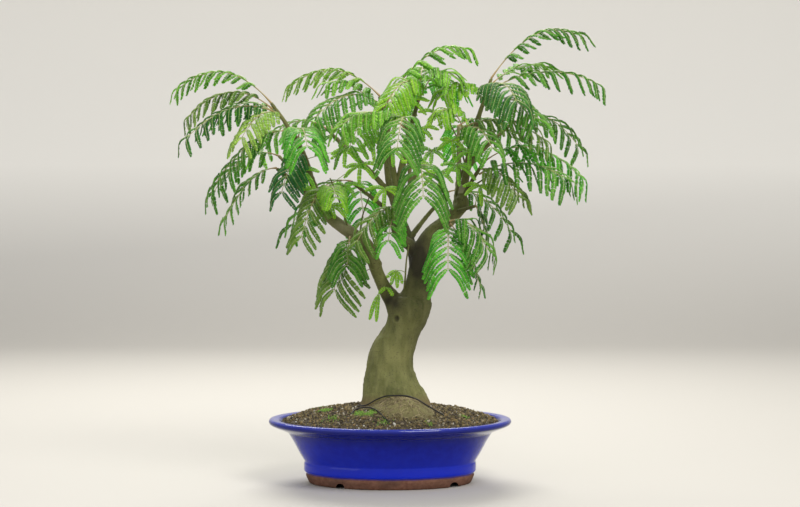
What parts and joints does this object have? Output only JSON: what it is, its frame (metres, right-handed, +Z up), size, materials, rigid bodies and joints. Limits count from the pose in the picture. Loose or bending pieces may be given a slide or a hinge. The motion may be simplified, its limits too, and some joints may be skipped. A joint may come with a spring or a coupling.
{
  "type": "potted bonsai tree",
  "caption": "Silk tree grown as a bonsai: a forked trunk with drooping feathery leaves, planted in a shallow oval blue glazed pot on an unglazed foot.",
  "frame": {"origin": "middle of the whole object's box in X and Y, on the surface that the pot stands on", "axes": "+Z up; the viewer of the front looks along +Y, with +X to the right and along the pot's length"},
  "size_m": [0.7132, 0.5016, 0.7468],
  "materials": {
    "pot": "glossy cobalt blue glaze, bare brown clay at the foot",
    "soil": "coarse baked clay grit with moss",
    "bark": "smooth olive grey bark",
    "leaf": "soft thin green leaflets",
    "tie_wire": "dark dull wire",
    "drain_mesh": "moulded black mesh"
  },
  "bodies": {
    "root": {"pot": "pot", "soil": "soil", "drain_mesh_left": "drain_mesh", "drain_mesh_right": "drain_mesh", "tree": "bark", "tie_wire_long": "tie_wire", "tie_wire_short": "tie_wire", "leaf_far_left_1": "leaf", "leaf_far_left_2": "leaf", "leaf_far_left_3": "leaf", "leaf_far_left_4": "leaf", "leaf_near_left_1": "leaf", "leaf_near_left_2": "leaf", "leaf_near_left_3": "leaf", "leaf_left_tip_1": "leaf", "leaf_left_front_1": "leaf", "leaf_left_front_2": "leaf", "leaf_left_low_1": "leaf", "leaf_left_low_2": "leaf", "leaf_top_left_1": "leaf", "leaf_top_left_2": "leaf", "leaf_top_left_3": "leaf", "leaf_tall_1": "leaf", "leaf_tall_2": "leaf", "leaf_tall_3": "leaf", "leaf_tall_4": "leaf", "leaf_front_high_1": "leaf", "leaf_front_top_1": "leaf", "leaf_front_top_2": "leaf", "leaf_front_low_1": "leaf", "leaf_front_low_2": "leaf", "leaf_right_mid_1": "leaf", "leaf_right_mid_2": "leaf", "leaf_right_low_1": "leaf", "leaf_right_low_2": "leaf", "leaf_right_low_3": "leaf", "leaf_right_stub_1": "leaf", "leaf_right_inner_1": "leaf", "leaf_right_inner_2": "leaf", "leaf_middle_1": "leaf", "leaf_middle_2": "leaf", "leaf_tall_5": "leaf", "leaf_top_left_4": "leaf", "leaf_right_inner_3": "leaf", "leaf_tall_6": "leaf", "leaf_right_mid_3": "leaf", "leaf_middle_3": "leaf", "leaf_top_left_5": "leaf", "leaf_far_left_5": "leaf", "leaf_back_left_1": "leaf", "leaf_back_left_2": "leaf", "leaf_back_top_1": "leaf", "leaf_back_top_2": "leaf", "leaf_back_right_1": "leaf", "leaf_back_right_2": "leaf", "leaf_back_low_right_1": "leaf", "leaf_back_low_left_1": "leaf", "leaf_back_low_left_2": "leaf", "leaf_right_back_1": "leaf", "leaf_left_back_1": "leaf"}
  },
  "joints": []
}
